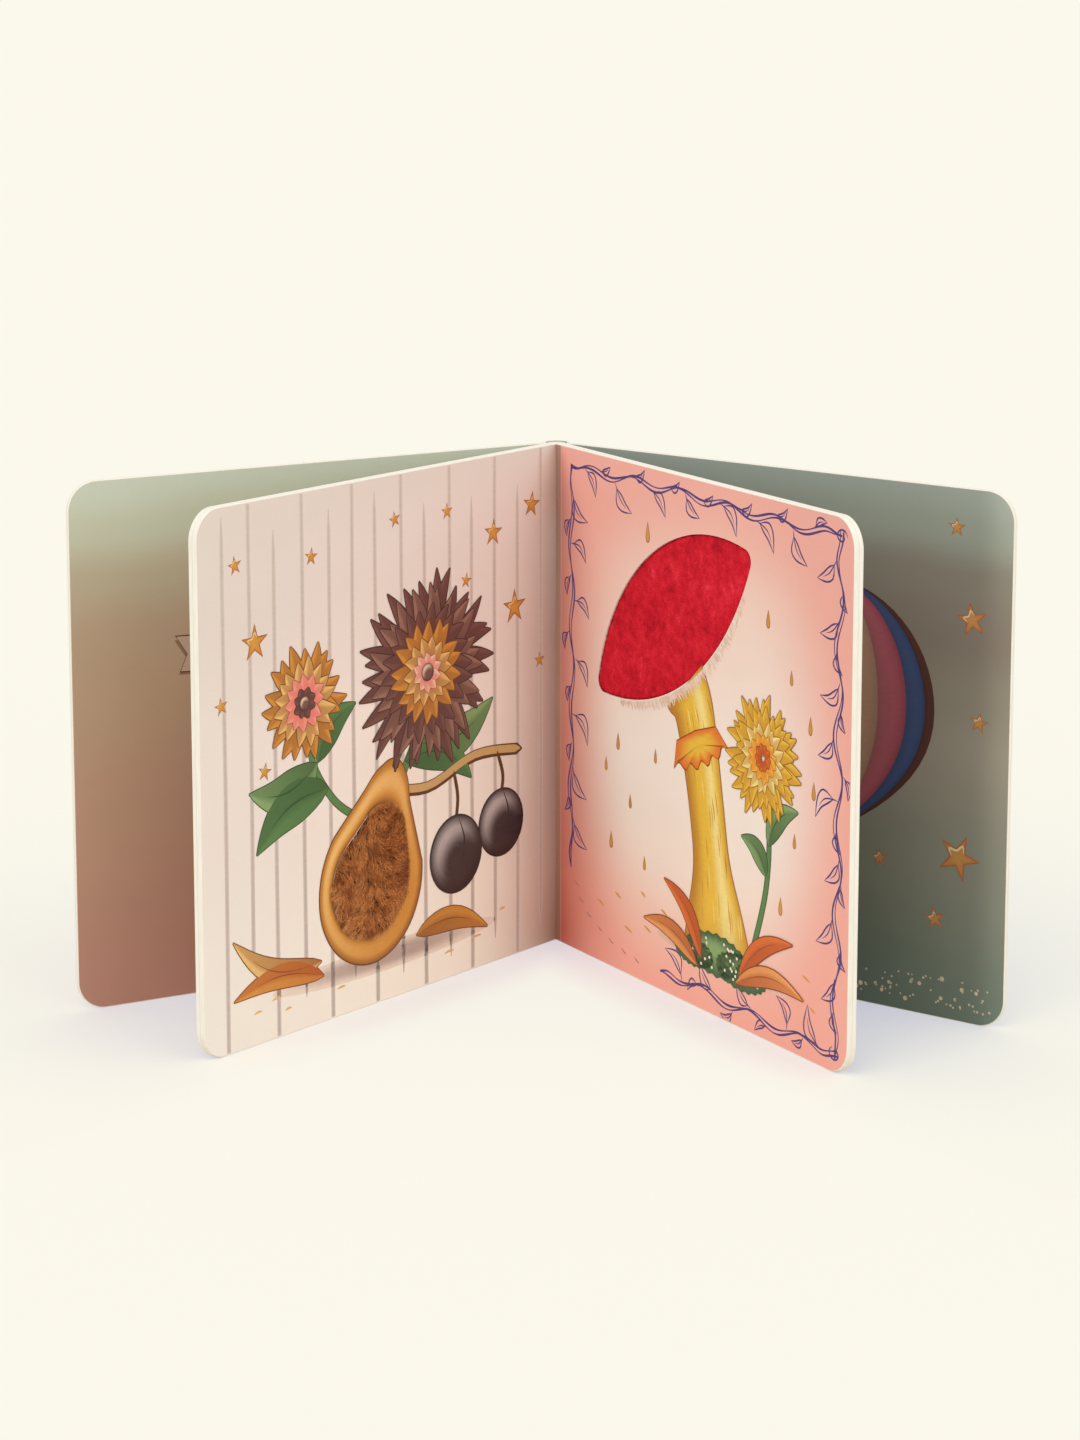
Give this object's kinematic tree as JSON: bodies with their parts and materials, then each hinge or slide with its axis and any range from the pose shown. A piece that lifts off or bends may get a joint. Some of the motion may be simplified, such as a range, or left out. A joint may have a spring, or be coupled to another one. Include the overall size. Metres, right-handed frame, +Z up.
{
  "type": "board book",
  "caption": "Square touch-and-feel board book standing fanned open, with rounded corners, hinged covers and a fur and a velvet patch let into the open spread.",
  "frame": {"origin": "foot of the open gutter between the two inner leaves, on the surface that the book stands on", "axes": "+Z up along the gutter, -Y towards the reader, +X to the reader's right"},
  "size_m": [0.2924, 0.1538, 0.17],
  "materials": {
    "page_board": "matt printed board with cream cut edges",
    "cover_board": "matt printed board with cream cut edges",
    "spine_board": "matt printed board",
    "brown_fur": "long soft pile",
    "red_velvet": "crushed velvet"
  },
  "bodies": {
    "root": {"pages": "page_board", "spine": "spine_board", "fur_patch": "brown_fur", "velvet_patch": "red_velvet"},
    "front_cover": {"front_cover": "cover_board"},
    "back_cover": {"back_cover": "cover_board"}
  },
  "joints": [
    {"name": "front_cover_hinge", "type": "hinge", "parent": "root", "child": "front_cover", "pos_m": [-0.00257, 0.00208, 0], "axis": [0, 0, 1], "range_deg": [-28.5, 21.5]},
    {"name": "back_cover_hinge", "type": "hinge", "parent": "root", "child": "back_cover", "pos_m": [0.00284, 0.00168, 0], "axis": [0, 0, -1], "range_deg": [-36.5, 22]}
  ]
}
